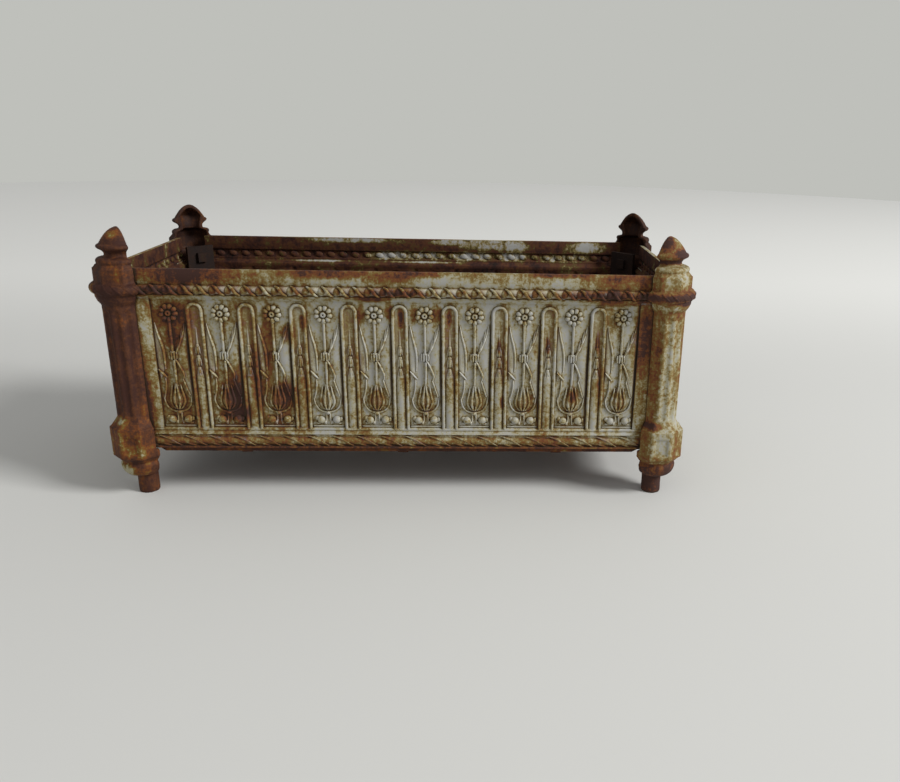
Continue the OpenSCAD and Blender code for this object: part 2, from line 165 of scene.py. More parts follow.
def aged_iron(name, sheen, looks):
    """A material of weathered cast iron. looks(wire, place) gives its colour, roughness and surface height."""
    material = bpy.data.materials.new(name)
    material.use_nodes = True
    tree = material.node_tree
    shader = tree.nodes["Principled BSDF"]
    wire = Wire(tree)
    place = wire.node("TexCoord", output="Object")
    colour, rough, height = looks(wire, place)
    bump = wire.node("Bump", Strength=GRAIN_STRENGTH, Distance=GRAIN_DEPTH * MM, Height=height)
    for key, value in (("Base Color", colour), ("Roughness", rough), ("Normal", bump)):
        tree.links.new(value.socket, shader.inputs[key])
    shader.inputs["Specular IOR Level"].default_value = sheen
    return material


PALE, WHITE, LILAC_GREY = srgb(160, 154, 127), srgb(212, 211, 201), srgb(160, 159, 154)
STAINED, OCHRE, OLIVE = srgb(131, 115, 68), srgb(111, 86, 35), srgb(70, 60, 27)
RUST, IRON_RED, MAROON = srgb(112, 62, 26), srgb(84, 50, 30), srgb(60, 34, 26)
SHADOW, BLACK_RUST = srgb(36, 26, 18), srgb(26, 19, 16)

# What shows as paint wears through, as rust gives way to traces of paint, and on the inside
PAINT_WEAR = ((0.0, LILAC_GREY), (0.22, PALE), (0.36, STAINED), (0.5, OCHRE), (0.66, RUST), (0.9, MAROON))
RUST_WEAR = ((0.0, MAROON), (0.3, IRON_RED), (0.48, RUST), (0.62, OCHRE), (0.74, STAINED), (0.85, PALE))
INSIDE_WEAR = (
    (0.0, BLACK_RUST), (0.24, MAROON), (0.4, IRON_RED), (0.52, OLIVE), (0.62, STAINED), (0.76, LILAC_GREY))

# Where the photograph's larger marks lie, as (x, z, half width, half height)
PANEL_RUST = (
    (-205, 176, 13, 12), (-206, 158, 7, 10), (-155, 102, 7, 14), (-154, 84, 13, 7), (-133, 122, 5, 26),
    (-121, 146, 5, 32), (-104, 162, 6, 8), (-107, 102, 9, 13), (-88, 172, 3, 7), (-10, 183, 4, 8),
    (-35, 180, 3, 10), (1, 177, 2, 8), (13, 182, 3, 9), (34, 181, 4, 9), (46, 178, 2, 6), (92, 151, 1.6, 6),
    (96, 96, 2, 5), (138, 152, 1.8, 7), (163, 103, 5, 7), (185, 154, 1.8, 9), (230, 165, 9, 32),
    (-238, 96, 6, 26), (-196, 216, 46, 8), (-62, 218, 38, 4), (-10, 214, 20, 7), (20, 219, 24, 3),
    (150, 219.5, 30, 2.5), (208, 213, 32, 10), (-218, 201, 24, 5), (-4, 201, 22, 4), (200, 201, 46, 5),
    (-22, 195, 14, 3), (208, 195, 34, 4), (0, 47, 400, 4))
PANEL_OCHRE = (
    (-205, 130, 24, 60), (-225, 150, 14, 60), (-181, 100, 8, 34), (-155, 100, 16, 34), (-111, 90, 18, 26),
    (-88, 120, 7, 60), (-43, 120, 6, 60), (3, 120, 5, 30), (49, 110, 6, 46), (97, 120, 6, 60),
    (143, 170, 6, 16), (188, 130, 6, 50), (127, 170, 5, 22), (-232, 130, 11, 60), (-208, 100, 18, 40),
    (200, 178, 8, 14), (226, 100, 10, 40), (0, 201, 400, 4.5), (0, 54, 400, 7), (0, 222, 400, 9),
    (-70, 195, 60, 3), (-160, 212, 80, 10), (84, 213, 26, 2.5), (-60, 217, 50, 5), (20, 217, 50, 4))
# In every bay, measured from the nearest arch: dirt and a painted shadow along its left side, and stain inside it and
# on the buds
BAY_DIRT_AND_SHADOW = ((-ARCH_W / 2 - 0.9, 128, 1.5, 48),)
BAY_STAINS = ((0, 165, 5, 22), (BAY / 2, 98, 9, 13), (-BAY / 2, 98, 9, 13))
RIGHT_POST_RUST = (
    (252, 10, 40, 12), (252, 27, 40, 9), (245, 249, 5, 7), (257, 240, 8, 4), (250, 233, 24, 2),
    (252, 202, 30, 3), (266, 196, 14, 2), (240, 75, 12, 3))
RIGHT_POST_OCHRE = (
    (250, 244, 30, 14), (252, 14, 40, 17), (272, 214, 8, 12), (236, 214, 6, 12), (250, 201, 60, 7),
    (272, 56, 10, 16), (234, 56, 10, 16), (250, 42, 40, 4), (271, 140, 7, 60), (238, 130, 8, 60),
    (250, 185, 30, 5))
LEFT_POST_OCHRE = ((-270, 150, 6, 50), (-266, 62, 20, 8), (-246, 50, 14, 6), (-252, 250, 10, 4), (-256, 26, 12, 6))
LEFT_POST_PALE = ((-268, 77, 14, 4), (-262, 29, 12, 7), (-272, 176, 6, 20))
INSIDE_PALE = (
    (-72, 218, 34, 3), (92, 215, 44, 7), (40, 217, 20, 4), (200, 214, 20, 6), (-20, 201, 30, 5),
    (90, 201, 100, 5), (10, 194, 40, 1), (-244, 200, 12, 5), (-110, 194, 30, 1))


def spots(wire, place, marks):
    """1 in the middle of these marks, falling to 0 outside them."""
    found = None
    for x, z, wide, tall in marks:
        near = wire.node(
            "Mapping", Vector=place, Location=(-x / wide, 0, -z / tall), Scale=(1 / wide / MM, 0, 1 / tall / MM))
        mark = wire.node("VectorMath", {"operation": "LENGTH"}, output=1, Vector=near).fade(1.7, 0.4)
        found = mark if found is None else wire.math("MAXIMUM", found, mark)
    return found


def cavities(wire, reach):
    """How hidden from the light a place is, 0 on open faces and 1 in the deepest corners."""
    return 1 - wire.node("AmbientOcclusion", {"samples": 8}, output="AO", Distance=reach * MM)


def crests(wire, reach):
    """1 along the edges that stand out, where paint rubs off and a painted highlight goes, and 0 elsewhere."""
    behind = wire.node("AmbientOcclusion", {"samples": 8, "inside": True}, output="AO", Distance=reach * MM)
    return behind.fade(0.5, 0.2)


def weather(wire, place):
    """Noises about zero: broad, patchy, running down and fine."""
    big = wire.noise(place, 9, 3, 0.6, shift=2.3)
    patch = wire.noise(place, 48, 6, 0.68, shift=7.1)
    runs = wire.noise(place, 90, 5, 0.65, stretch=(1, 1, 0.1), shift=4.4)
    specks = wire.noise(place, 280, 5, 0.75)
    return [noise - 0.5 for noise in (big, patch, runs, specks)]


def paint_looks(left, rust_marks, ochre_marks, soak=0.0, in_bays=True):
    """Pale paint that wears through ochre stain to red rust and bare brown iron, with olive dirt and painted shade in
    the hollows and a painted highlight on the crests.

    left is how much more it has worn at the planter's left, and soak how much more it has worn all over.
    """

    def looks(wire, place):
        x = place.axis(0)
        big, patch, runs, specks = weather(wire, place)
        # How shaded each place is: it drives the painted shade, and the olive dirt and stain, in the hollows
        hollow = cavities(wire, 3.2) * 1.35
        stain = spots(wire, place, ochre_marks)
        if in_bays:
            from_arch = wire.math("WRAP", x, BAY / 2 * MM, -BAY / 2 * MM)
            one_bay = wire.node("CombineXYZ", X=from_arch, Z=place.axis(2))
            # Dirt and a painted shadow along each arch's left side, added to the painted shade of the hollows
            hollow = hollow + spots(wire, one_bay, BAY_DIRT_AND_SHADOW) * 0.5
            stain = wire.math("MAXIMUM", stain, spots(wire, one_bay, BAY_STAINS))
        # The hollows wear on towards darker stain, which is partly painted shade
        wear = spots(wire, place, rust_marks) * 0.47 + stain * 0.21 + hollow * 0.6
        wear = wear + big * 0.4 + patch * 0.95 + runs * 1.0 + specks * 1.4 + x.fade(-0.03, -0.2) * left + (soak + 0.1)
        # Pale worn paint on specks and patches, and along the crests also a painted highlight
        rubbed_and_highlit = (specks * 1.6 + patch * 1.2 + crests(wire, 1.5) * 0.6 - wear * 0.5 - soak * 2).fade(0.15, 0.7)
        colour = (rubbed_and_highlit * 0.6).over(wear.ramp(PAINT_WEAR), WHITE)
        # Olive dirt in specks and in the hollows, where it is partly painted shade
        colour = ((hollow + specks * 1.2).fade(0.25, 0.75) * 0.6).over(colour, OLIVE)
        # Painted shade, dark brown, in the deepest hollows
        colour = (hollow.fade(0.5, 0.95) * 0.8).over(colour, SHADOW)
        return colour, 0.5 + wear.fade(0.1, 0.7) * 0.35, specks * 0.7 + patch * 0.5

    return looks


def rust_looks(ochre_marks=(), pale_marks=(), dull=0.0):
    """Red-brown rust, with ochre stain and traces of paint left on it, and painted shade in its hollows. dull is its
    share of black rust.
    """

    def looks(wire, place):
        big, patch, runs, specks = weather(wire, place)
        hollow = cavities(wire, 4)
        paint = big * 0.5 + patch * 1.3 + runs * 1.4 + specks * 1.3 + 0.2
        if ochre_marks:
            paint = paint + spots(wire, place, ochre_marks) * 0.26
        if pale_marks:
            paint = paint + spots(wire, place, pale_marks) * 0.5
        # Painted shade, dark brown, in the hollows
        colour = (hollow.fade(0.3, 0.8) * 0.8).over(paint.ramp(RUST_WEAR), SHADOW)
        if dull:
            colour = wire.mix(dull, colour, BLACK_RUST)
        return colour, 0.7 + specks * 0.3, specks * 0.7 + patch * 0.5

    return looks


def inside_looks(wire, place):
    """The planter's inner faces: dark brown rust, with pale patches where paint is left, and painted shade in the
    corners.
    """
    big, patch, runs, specks = weather(wire, place)
    paint = spots(wire, place, INSIDE_PALE) * 0.4 + patch * 1.3 + runs * 0.6 + big * 0.4 + specks * 0.8
    # Painted shade: the corners go darker
    paint = paint + cavities(wire, 5) * -0.4 + 0.34
    return paint.ramp(INSIDE_WEAR), 0.8 + specks * 0.2, specks


# ---- Floor and room ----

def pale_floor():
    """A round floor. Far behind the planter it glows for the camera, until it is as pale as the wall there."""
    bpy.ops.mesh.primitive_circle_add(vertices=96, radius=4, fill_type="NGON")
    floor = bpy.context.object
    floor.name = "floor"
    ground = bpy.data.materials.new("ground")
    ground.use_nodes = True
    paving = ground.node_tree.nodes["Principled BSDF"].inputs
    paving["Base Color"].default_value = srgb(209, 209, 205)
    paving["Roughness"].default_value = 1
    paving["Specular IOR Level"].default_value = 0.2
    wire = Wire(ground.node_tree)
    behind = wire.node("TexCoord", output="Object").axis(1).fade(0.2, 1.1)
    glow = (behind * wire.node("LightPath", output="Is Camera Ray")).over((0, 0, 0, 1), (0.155, 0.156, 0.15, 1))
    ground.node_tree.links.new(glow.socket, paving["Emission Color"])
    paving["Emission Strength"].default_value = 1
    return laid(ground, floor)


def room_light():
    """Even light from all round, which the camera sees as a pale wall."""
    world = bpy.data.worlds.new("room")
    bpy.context.scene.world = world
    world.use_nodes = True
    wire = Wire(world.node_tree)
    shade = wire.node("LightPath", output="Is Camera Ray").over((0.43, 0.43, 0.43, 1), srgb(191, 192, 187))
    background = world.node_tree.nodes["Background"].inputs
    world.node_tree.links.new(shade.socket, background["Color"])
    background["Strength"].default_value = 1


# ---- Tools for shaping ----

def choose(*pieces):
    """Selects these pieces alone, the first of them active."""
    if bpy.context.mode != "OBJECT":
        bpy.ops.object.mode_set(mode="OBJECT")
    bpy.ops.object.select_all(action="DESELECT")
    for piece in pieces:
        piece.select_set(True)
    bpy.context.view_layer.objects.active = pieces[0]


def modified(piece, kind, **settings):
    """The piece with a modifier of that kind applied."""
    choose(piece)
    modifier = piece.modifiers.new(kind, kind)
    for key, value in settings.items():
        setattr(modifier, key, value)
    bpy.ops.object.modifier_apply(modifier=modifier.name)
    return piece


def smoothed(piece, angle=40):
    choose(piece)
    bpy.ops.object.shade_smooth_by_angle(angle=radians(angle))
    return piece


def joined(name, *pieces):
    choose(*pieces)
    if len(pieces) > 1:
        bpy.ops.object.join()
    pieces[0].name = pieces[0].data.name = name
    return pieces[0]


def copied(piece, place):
    """A copy with its own mesh, moved by a matrix whose lengths are in metres."""
    copy = piece.copy()
    copy.data = piece.data.copy()
    bpy.context.collection.objects.link(copy)
    copy.data.transform(place)
    if place.determinant() < 0:
        copy.data.flip_normals()
    return copy


def at(x, y=0):
    """A move across the floor, in millimetres."""
    return Matrix.Translation((x * MM, y * MM, 0))


def turned(angle):
    """A turn about the upright axis, in degrees."""
    return Matrix.Rotation(radians(angle), 4, "Z")


def swept(name, lines, flat=1.0, level=FIELD, sides=2):
    """Rounded bars along lines of (x, out, z, radius), with their depths then pressed flatter about a level."""
    bpy.ops.curve.primitive_nurbs_path_add()
    piece = bpy.context.object
    curve = piece.data
    curve.splines.clear()
    curve.bevel_depth, curve.bevel_resolution, curve.use_fill_caps = MM, sides, True
    curve.resolution_u = 3
    for line in lines:
        spline = curve.splines.new("NURBS")
        spline.points.add(len(line) - 1)
        for point, (x, out, z, radius) in zip(spline.points, line):
            point.co, point.radius = (x * MM, -out * MM, z * MM, 1), radius
        spline.order_u, spline.use_endpoint_u = min(3, len(line)), True
    choose(piece)
    bpy.ops.object.convert(target="MESH")
    piece = bpy.context.object
    piece.name = piece.data.name = name
    to_level = Matrix.Translation((0, level * MM, 0))
    piece.data.transform(to_level.inverted() @ Matrix.Diagonal((1, flat, 1, 1)) @ to_level)
    return smoothed(piece, 60)


def beads(name, *places):
    """Round lumps at (x, out, z), each with its width, depth, height and lean in degrees."""
    lumps = []
    for x, out, z, wide, deep, tall, lean in places:
        bpy.ops.mesh.primitive_uv_sphere_add(segments=12, ring_count=8, radius=1)
        lump = bpy.context.object
        lump.data.transform(
            Matrix.Translation((x * MM, -out * MM, z * MM)) @ Matrix.Rotation(radians(lean), 4, "Y")
            @ Matrix.Diagonal((wide / 2 * MM, deep / 2 * MM, tall / 2 * MM, 1)))
        lumps.append(lump)
    return smoothed(joined(name, *lumps), 60)


def filled(corners):
    """A flat face with these corners, in metres."""
    bpy.ops.mesh.primitive_circle_add(vertices=len(corners), fill_type="NGON")
    face = bpy.context.object
    for vertex, corner in zip(face.data.vertices, corners):
        vertex.co = corner
    return face


def drawn(face, way):
    """The solid that a flat face fills when it is drawn along a vector, in metres."""
    bpy.ops.object.mode_set(mode="EDIT")
    bpy.ops.mesh.select_all(action="SELECT")
    bpy.ops.mesh.extrude_region_move(TRANSFORM_OT_translate={"value": way})
    bpy.ops.mesh.select_all(action="SELECT")
    bpy.ops.mesh.normals_make_consistent(inside=False)
    bpy.ops.object.mode_set(mode="OBJECT")
    return face


def extruded(name, section, length):
    """A bar along X, centred, whose end is the section: points (out, z), in millimetres."""
    end = filled([(-length / 2 * MM, -out * MM, z * MM) for out, z in section])
    return joined(name, drawn(end, (length * MM, 0, 0)))


def sliced(piece, *cuts):
    """The piece without what lies beyond planes of (point, outward direction), each cut closed."""
    choose(piece)
    bpy.ops.object.mode_set(mode="EDIT")
    for point, outward in cuts:
        bpy.ops.mesh.select_all(action="SELECT")
        bpy.ops.mesh.bisect(plane_co=point, plane_no=outward, use_fill=True, clear_outer=True)
    bpy.ops.object.mode_set(mode="OBJECT")
    return piece


def trimmed(piece, span, inner=None):
    """The piece cut at both ends along the planter's diagonals, where the posts' open sides lie, and behind."""
    end = span / 2 * MM - OPEN_SIDE * 2 ** 0.5 * MM
    cuts = [((side * end, 0, 0), (side, -1, 0)) for side in (-1, 1)]
    if inner is not None:
        cuts.append(((0, -inner * MM, 0), (0, 1, 0)))
    return sliced(piece, *cuts)


def laid(material, *pieces):
    """The pieces joined as one that has this material alone."""
    piece = joined(pieces[0].name, *pieces)
    piece.data.materials.clear()
    piece.data.materials.append(material)
    return piece


# ---- The panels' relief ----

def both(*lines):
    """Lines and their mirror images, left and right."""
    return [*lines, *([(-x, out, z, r) for x, out, z, r in line] for line in lines)]


def flat_line(*points, out=FIELD):
    """A line on the field from points (x, z, radius)."""
    return [(x, out, z, r) for x, z, r in points]


def flower():
    """Nine round petals in a ring, a low disc inside it, and a hollow button."""
    disc = beads("disc", (0, FIELD, FLOWER_Z, 9.4, 3.6, 9.4, 0))
    count, ring_r = 9, 6.0
    petals = []
    for n in range(count):
        a = 2 * pi * n / count + 0.3
        petals.append((ring_r * sin(a), FIELD + 0.8, FLOWER_Z + ring_r * cos(a), 4.9, 5.0, 5.4, 360 * n / count + 17))
    bpy.ops.mesh.primitive_torus_add(
        location=(0, -(FIELD + 2.4) * MM, FLOWER_Z * MM), rotation=(pi / 2, 0, 0),
        major_radius=1.6 * MM, minor_radius=1.1 * MM, major_segments=14, minor_segments=8)
    button = bpy.context.object
    choose(button)
    bpy.ops.object.transform_apply(location=True, rotation=True, scale=True)
    return joined("flower", disc, beads("petals", *petals), smoothed(button))


def bay():
    """One bay between two arches: flower, bound stem, two tall leaves, bud and scrolls."""
    stems = swept("stems", [
        flat_line((0, 172, 1.3), (0, 157, 1.3), (0, 142, 1.3), out=FIELD + 0.5),
        flat_line((0.6, 135, 1.4), (0.5, 124, 1.3), (0, 110, 1.0), out=FIELD + 0.5),
        *both(flat_line((1.8, 85.5, 0.9), (1.1, 80, 1.1), (2.8, 72.5, 0.8))),
    ], flat=1.3)
    blades = swept("blades", [
        flat_line((13.6, 170, 0.3), (13.2, 162, 1.8), (12.0, 154, 3.4), (10.2, 146, 4.9), (8.6, 139, 5.6),
                  (9.2, 131, 5.0), (11.0, 123, 3.4), (11.0, 116, 3.4), (12.2, 107, 2.4), (13.4, 98, 0.4)),
        flat_line((-13.8, 168, 0.3), (-13.6, 160, 1.4), (-12.4, 150, 2.8), (-11.4, 141, 3.4), (-11.4, 132, 3.2),
                  (-12.0, 124, 2.4), (-13.4, 117, 0.3)),
    ], flat=0.3, sides=3)
    edges = swept("edges", [
        flat_line((13.4, 171, 0.4), (11.4, 162.2, 1.2), (8.6, 154.6, 1.4), (5.4, 146.4, 1.4), (2.6, 141.4, 1.1)),
        flat_line((1.4, 136, 1.1), (4.3, 131, 1.4), (7.2, 124, 1.4), (8.4, 119.5, 1.3), (6.6, 115.6, 0.6)),
        flat_line((6.6, 116.6, 0.8), (8.4, 110, 1.3), (11.6, 100.6, 0.8)),
        flat_line((-13.6, 170, 0.4), (-12.0, 160, 1.1), (-9.4, 151, 1.4), (-8.0, 142, 1.4), (-8.0, 133, 1.3),
                  (-8.2, 126, 0.7)),
        flat_line((-9.4, 118, 0.6), (-9.2, 112, 1.1), (-10.4, 104, 1.1), (-12.4, 97, 0.6)),
        flat_line((5.8, 147.4, 1.2), (6.4, 152.4, 1.5), (7.4, 158.4, 0.2)),
        flat_line((9.0, 155.4, 1.1), (9.6, 160.6, 1.4), (10.8, 167, 0.2)),
    ], flat=1.5)
    curl = swept("curl", [
        flat_line((-14.2, 126, 0.5), (-11.4, 122.6, 1.7), (-7.6, 118.4, 0.6), out=FIELD + 0.9)], flat=1.5)
    bulb = swept("bulb", [
        flat_line((0, 85.6, 1.6), (0, 90, 5.4), (0, 97, 7.4), (0, 104, 4.8), (0, 108, 2.6), (0, 113, 0.3)),
    ], flat=0.4, sides=3)
    bud = swept("bud", [
        *both(flat_line((0.8, 87.6, 0.8), (2.2, 92, 1.4), (2.4, 98, 1.5), (1.2, 105, 1.1), (0.4, 112.5, 0.3),
                        out=FIELD + 2.4)),
        *both(flat_line((2.4, 87.6, 0.8), (5.6, 91, 1.3), (6.6, 97, 1.4), (4.6, 104, 1.2), (4.0, 111, 0.3),
                        out=FIELD + 1.2)),
    ], flat=0.95)
    cup = swept("cup", both(
        flat_line((0, 84.4, 1.3), (5.6, 85.2, 1.0), (10.0, 88.6, 1.0), (12.4, 94.6, 0.9), (12.8, 101, 0.3),
                  out=FIELD + 0.2)), flat=1.3)
    knot = swept("knot", both(
        flat_line((1.2, 143.6, 0.9), (1.1, 139.5, 1.4), (1.2, 135.6, 0.9), out=FIELD + 1.2),
        flat_line((3.0, 143, 0.7), (3.8, 139.5, 1.3), (3.0, 136, 0.7), out=FIELD + 0.9)))
    scrolls = beads(
        "scrolls",
        (0, FIELD + 0.8, 84.0, 4.6, 4.4, 3.8, 0),
        (-6.8, FIELD + 0.6, 77.0, 8.0, 7.4, 7.4, 20), (7.8, FIELD + 0.7, 77.2, 8.0, 7.8, 7.6, -20),
        (-10.4, FIELD + 0.2, 78.4, 4.6, 4.2, 4.6, -30), (12.0, FIELD + 0.2, 77.6, 3.8, 4.0, 5.0, 20),
        (-3.4, FIELD + 0.1, 74.6, 3.4, 3.4, 3.6, 0), (3.8, FIELD + 0.1, 74.6, 3.2, 3.4, 3.6, 0),
        (-9.8, FIELD, 73.6, 5.0, 3.4, 2.8, 0), (10.0, FIELD, 73.4, 5.0, 3.4, 2.6, 0))
    sill = swept("sill", [flat_line((-14.6, 70.3, 0.7), (-14, 70.3, 1.0), (14, 70.3, 1.0), (14.6, 70.3, 0.7))])
    return joined("bay", flower(), stems, blades, edges, curl, bulb, bud, cup, knot, scrolls, sill)


def arch():
    """A round-headed niche: a rounded rim that slopes inwards, a spike and a drop of husks over a rounded reed."""
    outer, inner = ARCH_W / 2, ARCH_W / 2 - ARCH_RIM
    # Half the rim's cross-section, as (x, height above the field)
    profile = [
        (outer, -0.4), (outer, 1.4), (outer - 0.3, 2.2), (outer - 0.9, 2.8), (outer - 1.7, 2.9),
        (outer - 2.3, 2.4), (outer - 2.7, 1.7), (inner + 0.2, 1.1), (inner, 0.8), (inner, -0.4)]
    foot, crown = (SILL_Z - 0.5) * MM, (ARCH_CROWN_Z - outer) * MM
    rim = filled([(x * MM, -(FIELD + rise) * MM, foot) for x, rise in profile])
    bpy.ops.object.mode_set(mode="EDIT")
    bpy.ops.mesh.select_all(action="SELECT")
    bpy.ops.mesh.extrude_region_move(TRANSFORM_OT_translate={"value": (0, 0, crown - foot)})
    bpy.ops.mesh.spin(steps=14, angle=pi, center=(0, 0, crown), axis=(0, 1, 0))
    bpy.ops.mesh.extrude_region_move(TRANSFORM_OT_translate={"value": (0, 0, foot - crown)})
    bpy.ops.mesh.select_all(action="SELECT")
    bpy.ops.mesh.remove_doubles(threshold=0.01 * MM)
    bpy.ops.mesh.normals_make_consistent(inside=False)
    bpy.ops.object.mode_set(mode="OBJECT")
    smoothed(rim, 50)
    spike = swept("spike", [flat_line((0, 168, 0.2), (0, 160, 1.0), (0, 149, 1.2), out=FIELD + 0.3)])
    husks = []
    for top, wide, tall in ((151, 4.6, 11), (140.5, 5.2, 12), (129, 4.6, 10)):
        husks.append((0, FIELD + 0.6, top - tall / 2, wide * 0.55, 4.6, tall, 0))
        for x in (-wide * 0.3, wide * 0.3):
            husks.append((x, FIELD + 0.3, top - tall * 0.55, wide * 0.5, 3.4, tall * 0.8, -4 * x))
        husks.append((0, FIELD + 0.8, top - 1.6, wide * 0.7, 4.0, 3.2, 0))
    reed = swept("reed", [
        flat_line((0, SILL_Z - 0.5, 4.6), (0, 90, 4.6), (0, 114, 4.6), (0, 121, 4.4), (0, 123.5, 2.4)),
    ], flat=0.5, sides=4)
    return joined("arch", laid(panel_paint, rim, spike, beads("husks", *husks), reed), niche_floor())


def niche_floor():
    """The stained ground inside an arch."""
    half = ARCH_W / 2 - ARCH_RIM + 0.3
    crown = ARCH_CROWN_Z - ARCH_W / 2
    head = [(half * cos(pi * n / 12), crown + half * sin(pi * n / 12)) for n in range(13)]
    outline = [(half, SILL_Z), *head, (-half, SILL_Z)]
    ground = filled([(x * MM, -(FIELD - 0.3) * MM, z * MM) for x, z in outline])
    return laid(soaked_paint, drawn(ground, (0, -0.9 * MM, 0)))


def rope(length, out=8.9):
    """Pearls with a ribbon wound between each two, falling to the right on the side that shows."""
    core = swept("core", [[(x * length, out, BEAD_Z, 3.0) for x in (-0.5, 0.5)]], sides=3)
    half = int(length / ROPE_LEAD) + 1
    middles = [ROPE_LEAD / 2 * n for n in range(-half, half + 1)]
    pearls = beads("pearls", *[(middle, out + 0.6, BEAD_Z, 8.8, 8.0, 7.6, -20) for middle in middles])
    ribbon = ((0.6, 2.2, 4.4, 0.8), (3.4, 4.0, 3.4, 1.4), (5.4, 4.5, 0.4, 1.6), (7.4, 4.1, -2.6, 1.4),
              (10.4, 2.0, -4.4, 0.8))
    ribbons = swept("ribbons", [
        [(middle + x, out + rise, BEAD_Z + z, r) for x, rise, z, r in ribbon] for middle in middles])
    return laid(soaked_paint, core, pearls, ribbons)


def leaf_band(length):
    """Slanting leaves one after another along the foot, each with a rib on it and a small leaf under it."""
    pitch = BAY / 2
    count = int(length / pitch) + 1
    core = swept("core", [[(x * length, 6.2, 55.8, 4.6) for x in (-0.5, 0.5)]], sides=3)
    leaf = ((-11, 8.0, 62, 0.5), (-4, 8.2, 59.6, 1.9), (3, 8.6, 56.4, 2.5), (8.5, 8.8, 53.4, 2.0), (12, 8.8, 51.2, 0.5))
    rib = ((-7, 10.0, 61.2, 0.3), (0, 10.5, 58.6, 0.7), (6, 10.8, 55.4, 0.8), (11.5, 10.6, 51.6, 0.3))
    small_leaf = ((-12, 8.0, 57.4, 0.4), (-7, 8.8, 54.4, 1.4), (-1, 9.0, 51.8, 1.5), (4, 8.8, 50.4, 0.4))
    lines = []
    for n in range(count):
        middle = (n - (count - 1) / 2) * pitch
        lines += [[(middle + x, out, z, r) for x, out, z, r in line] for line in (leaf, rib, small_leaf)]
    return laid(soaked_paint, core, swept("leaves", lines))


# A panel's cross-section as points (out, z): down the face from the rim to the foot, then up the back
SECTION = [
    (10, RIM_Z), (10, 206.6), (9.5, 205.9), (9.4, 205.2), (11.0, 204.4), (12.0, 202.6), (12.0, 200.6), (10.8, 198.6),
    (8.8, 197.6), (8.8, 196.9), (9.7, 196.4), (9.7, 195.2), (8.7, 194.4),
    (7.5, 192.9), (6.7, 191.6), (6, FIELD_Z), (6, SILL_Z + 0.7), (7.4, SILL_Z + 0.3), (8.3, 67.8), (8.3, 66.6),
    (7.6, 65.9), (8.2, 64.8), (9.6, 63.6), (9.8, 62.8), (8.4, 62), (8.4, 51), (10.6, 50.4), (10.6, FOOT_Z),
    (-10, FOOT_Z), (-10, 53), (1, 53), (6, 57), (6, 61), (2, SILL_Z), (2, FIELD_Z), (6, 194.5), (6, 196.6),
    (7.4, 197.6), (8.2, 199.4), (8.4, 201.5), (8.2, 204), (7.4, 205.6), (6, 206), (6, RIM_Z)]


def panel_body(span, bays):
    """The casting behind the relief, its back hollowed behind each flower and arch and along the rope."""
    length = span - 2 * END_CLEAR
    body = extruded("body", SECTION, length)
    field = bays * BAY - ARCH_W
    strip = (length - field) / 2
    top = FIELD_Z + 3.8
    upright = [(STRIP, top), (STRIP, SILL_Z), (FIELD - 1, SILL_Z), (FIELD - 1, top)]
    strips = [extruded("strip", upright, strip) for _ in (0, 1)]
    for side, bar in zip((-1, 1), strips):
        bar.data.transform(at(side * (field + strip) / 2))
    places = [(BAY * (n + 0.5 - bays / 2), 0.2, FLOWER_Z, 13, 6.4, 13, 0) for n in range(bays)]
    places += [(BAY * (n - bays / 2), 0.6, 181.5, 9, 6, 13, 0) for n in range(1, bays)]
    cutter = beads("hollows", *places)
    modified(body, "BOOLEAN", object=cutter, operation="DIFFERENCE", solver="EXACT")
    bpy.data.objects.remove(cutter)
    body = trimmed(body, span)
    for bar in strips:
        trimmed(bar, span)
    # The rope's twist shows from behind as slanting lumps in the hollow behind it
    half = int(length / ROPE_LEAD)
    middles = [ROPE_LEAD / 2 * n for n in range(-half, half + 1)]
    lumps = trimmed(beads("lumps", *[(middle, 8.4, 200.6, 10.6, 4.6, 7.6, -30) for middle in middles]), span)
    body = joined("body", body, *strips, lumps)
    modified(
        body, "BEVEL", width=0.45 * MM, segments=2, limit_method="ANGLE", angle_limit=radians(38),
        miter_outer="MITER_ARC")
    return smoothed(body, 45)


def panel(span, bays):
    """A whole panel as four pieces: its body, its flower bays, its arches, and its rope and leaf band."""
    one_bay, one_arch = bay(), arch()
    flowers = [copied(one_bay, at(BAY * (n + 0.5 - bays / 2))) for n in range(bays)]
    arches = [copied(one_arch, at(BAY * (n - bays / 2))) for n in range(1, bays)]
    for pattern in (one_bay, one_arch):
        bpy.data.objects.remove(pattern)
    bands = joined("bands", trimmed(rope(span), span, inner=8.6), trimmed(leaf_band(span), span, inner=6.7))
    body = laid(panel_paint, panel_body(span, bays))
    # What faces the inside, or lies behind the field below the rim, has the inside's rust
    body.data.materials.append(dark_inside)
    for face in body.data.polygons:
        out, z = -face.center.y / MM, face.center.z / MM
        if face.normal.y > 0.3 or (out < 5.5 and z < RIM_Z - 1):
            face.material_index = 1
    return body, laid(panel_paint, *flowers), joined("arches", *arches), smoothed(bands, 60)


# ---- Building ----

photo_camera()
bpy.context.scene.view_settings.view_transform = "Standard"
soft_light("window", (3.9, -1.65, 2.85), 1.5, 228)
soft_light("room", (-1.0, -1.9, 1.9), 2.0, 3)

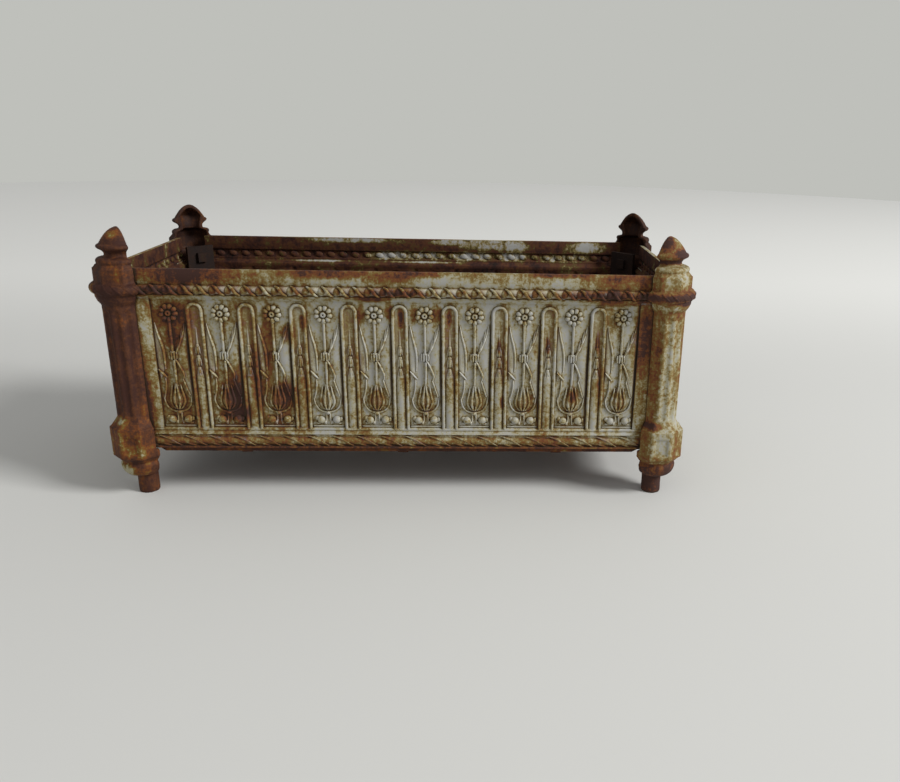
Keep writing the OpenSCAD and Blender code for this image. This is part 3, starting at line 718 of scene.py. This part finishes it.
panel_paint = aged_iron("panel_paint", PAINT_SHEEN, paint_looks(0.13, PANEL_RUST, PANEL_OCHRE))
soaked_paint = aged_iron("soaked_paint", PAINT_SHEEN, paint_looks(0.13, PANEL_RUST, PANEL_OCHRE, soak=0.08))
right_paint = aged_iron(
    "right_post_paint", PAINT_SHEEN, paint_looks(0, RIGHT_POST_RUST, RIGHT_POST_OCHRE, soak=0.19, in_bays=False))
left_rust = aged_iron("left_post_rust", RUST_SHEEN, rust_looks(LEFT_POST_OCHRE, LEFT_POST_PALE))
back_rust = aged_iron("back_post_rust", RUST_SHEEN, rust_looks(dull=0.5))
plain_rust = aged_iron("plain_rust", RUST_SHEEN, rust_looks(dull=0.15))
# Near-black rust for the straps in the inner corners: partly their own black rust, partly painted shade
shaded_black_iron = aged_iron("shaded_black_iron", RUST_SHEEN, rust_looks(dull=0.9))
dark_inside = aged_iron("dark_inside", RUST_SHEEN, inside_looks)

# Opposite panels are alike: the distance between their posts, their bays, and where each stands
LONG_PANELS = (POST_X * 2, 10, {
    "front": (at(0, -POST_Y), "front_panel"), "back": (turned(180) @ at(0, -POST_Y), "back_panel")})
END_PANELS = (POST_Y * 2, 3, {
    "left": (at(-POST_X) @ turned(-90), "left_end_panel"), "right": (at(POST_X) @ turned(90), "right_end_panel")})

for span, bays, sides in (LONG_PANELS, END_PANELS):
    parts = panel(span, bays)
    for side, (place, node) in sides.items():
        for kind, part in zip(("body", "flowers", "arches", "bands"), parts):
            piece = joined(f"{side}_{kind}", copied(part, place))
            if kind == "body":
                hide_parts(node)
            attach(piece, "root")
    for part in parts:
        bpy.data.objects.remove(part)


def cast(node):
    """A softened copy of a CAD node, as a casting is: no sharp edge, and a slightly rough skin."""
    voxel, pitting = 0.9, 0.25
    piece = copied(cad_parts[node], Matrix.Identity(4))
    piece.parent = None
    piece.name = piece.data.name = node + "_casting"
    choose(piece)
    bpy.ops.object.mode_set(mode="EDIT")
    bpy.ops.mesh.select_all(action="SELECT")
    bpy.ops.mesh.remove_doubles(threshold=0.01 * MM)
    bpy.ops.object.mode_set(mode="OBJECT")
    modified(piece, "REMESH", mode="VOXEL", voxel_size=voxel * MM)
    modified(piece, "SMOOTH", factor=0.5, iterations=1)
    grain = bpy.data.textures.new("grain", "CLOUDS")
    grain.noise_scale, grain.noise_depth = 0.006, 2
    modified(piece, "DISPLACE", texture=grain, texture_coords="LOCAL", strength=pitting * MM, mid_level=0.6)
    choose(piece)
    bpy.ops.object.shade_smooth()
    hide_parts(node)
    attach(piece, "root")
    return piece


def ring_strands():
    """Strands wound on the post's rope ring, for the front left corner about its post axis."""
    count, wound_r, strand_r = 3, 3.8, 1.4
    reach, steps = 100, 110     # degrees each way from the corner's diagonal, and steps along a strand
    lines = []
    for n in range(count):
        lines.append([])
        for k in range(steps + 1):
            away = reach * (k / (steps / 2) - 1)
            a = radians(225 + away)
            turn = 2 * pi * (away / RING_TURN + n / count)
            r = RING_R + wound_r * cos(turn)
            lines[-1].append((r * cos(a), -r * sin(a), RING_Z - wound_r * sin(turn), strand_r))
    ring = swept("strands", lines, sides=1)
    inward = Vector((1, 1, 0)).normalized()
    ring.data.transform(Matrix.Translation(inward * HEAD_SHIFT * MM))
    return sliced(ring, (inward * (OPEN_SIDE - 0.1) * MM, inward))


strands = ring_strands()
CORNERS = {
    "front_left": (at(-POST_X, -POST_Y), left_rust),
    "front_right": (at(POST_X, -POST_Y) @ turned(90), right_paint),
    "back_right": (at(POST_X, POST_Y) @ turned(180), back_rust),
    "back_left": (at(-POST_X, POST_Y) @ turned(-90), back_rust)}
for corner, (place, material) in CORNERS.items():
    post = cast(corner + "_post")
    laid(material, post)
    ring = joined(corner + "_rope", copied(strands, place))
    laid(material, ring)
    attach(ring, "root")
bpy.data.objects.remove(strands)

for node in ("floor_plate", "front_left_strap", "front_right_strap", "back_left_strap", "back_right_strap",
             "strap_bolts", "strap_nuts", "floor_bolts", "floor_nuts"):
    laid(shaded_black_iron if "strap" in node else plain_rust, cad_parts[node])

floor = pale_floor()
room_light()

bpy.context.view_layer.update()
